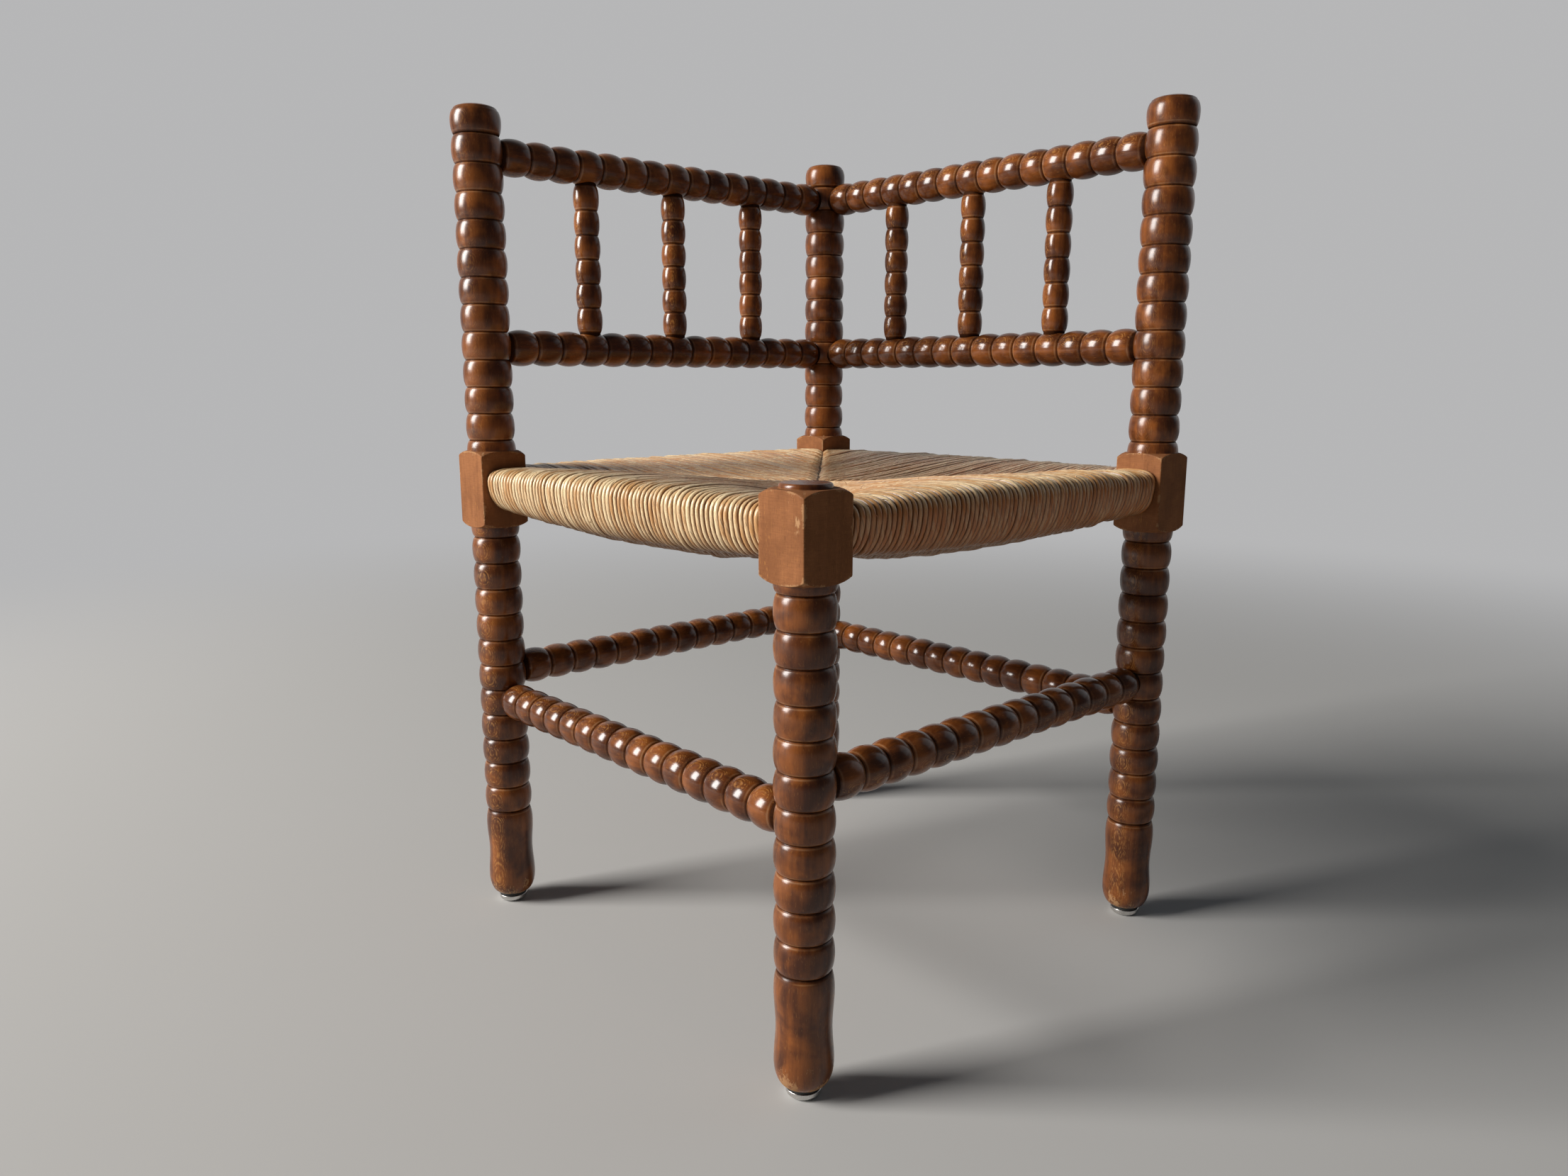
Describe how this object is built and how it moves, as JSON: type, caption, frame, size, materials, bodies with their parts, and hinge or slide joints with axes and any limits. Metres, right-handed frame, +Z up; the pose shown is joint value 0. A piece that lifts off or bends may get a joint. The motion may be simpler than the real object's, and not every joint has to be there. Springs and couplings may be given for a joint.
{
  "type": "corner chair",
  "caption": "Corner chair with bobbin-turned posts, rails and spindles, a low open back on two sides, a woven rush seat and nailed-on metal glides.",
  "frame": {"origin": "on the floor under the middle of the seat", "axes": "+Z up; -Y towards the low front post, +Y towards the tall rear post; +X towards the right post, seen from the front"},
  "size_m": [0.6562, 0.6562, 0.7317],
  "materials": {
    "stained_wood": "satin",
    "bare_wood": "matte",
    "rush": "matte",
    "stuffing": "matte",
    "nickel": "gloss",
    "cushion_rubber": "matte",
    "nail_steel": "satin"
  },
  "bodies": {
    "root": {"front_post": "stained_wood", "right_post": "stained_wood", "rear_post": "stained_wood", "left_post": "stained_wood", "left_top_rail": "stained_wood", "right_top_rail": "stained_wood", "left_lower_rail": "stained_wood", "right_lower_rail": "stained_wood", "left_outer_spindle": "stained_wood", "left_middle_spindle": "stained_wood", "left_inner_spindle": "stained_wood", "right_outer_spindle": "stained_wood", "right_middle_spindle": "stained_wood", "right_inner_spindle": "stained_wood", "front_left_stretcher": "stained_wood", "front_right_stretcher": "stained_wood", "rear_left_stretcher": "stained_wood", "rear_right_stretcher": "stained_wood", "front_left_seat_rail": "bare_wood", "front_right_seat_rail": "bare_wood", "rear_left_seat_rail": "bare_wood", "rear_right_seat_rail": "bare_wood", "rush_seat": "rush", "front_left_stuffing": "stuffing", "front_right_stuffing": "stuffing", "rear_left_stuffing": "stuffing", "rear_right_stuffing": "stuffing", "front_glide_cup": "nickel", "right_glide_cup": "nickel", "rear_glide_cup": "nickel", "left_glide_cup": "nickel", "front_glide_cushion": "cushion_rubber", "right_glide_cushion": "cushion_rubber", "rear_glide_cushion": "cushion_rubber", "left_glide_cushion": "cushion_rubber", "front_glide_nail": "nail_steel", "right_glide_nail": "nail_steel", "rear_glide_nail": "nail_steel", "left_glide_nail": "nail_steel"}
  },
  "joints": []
}
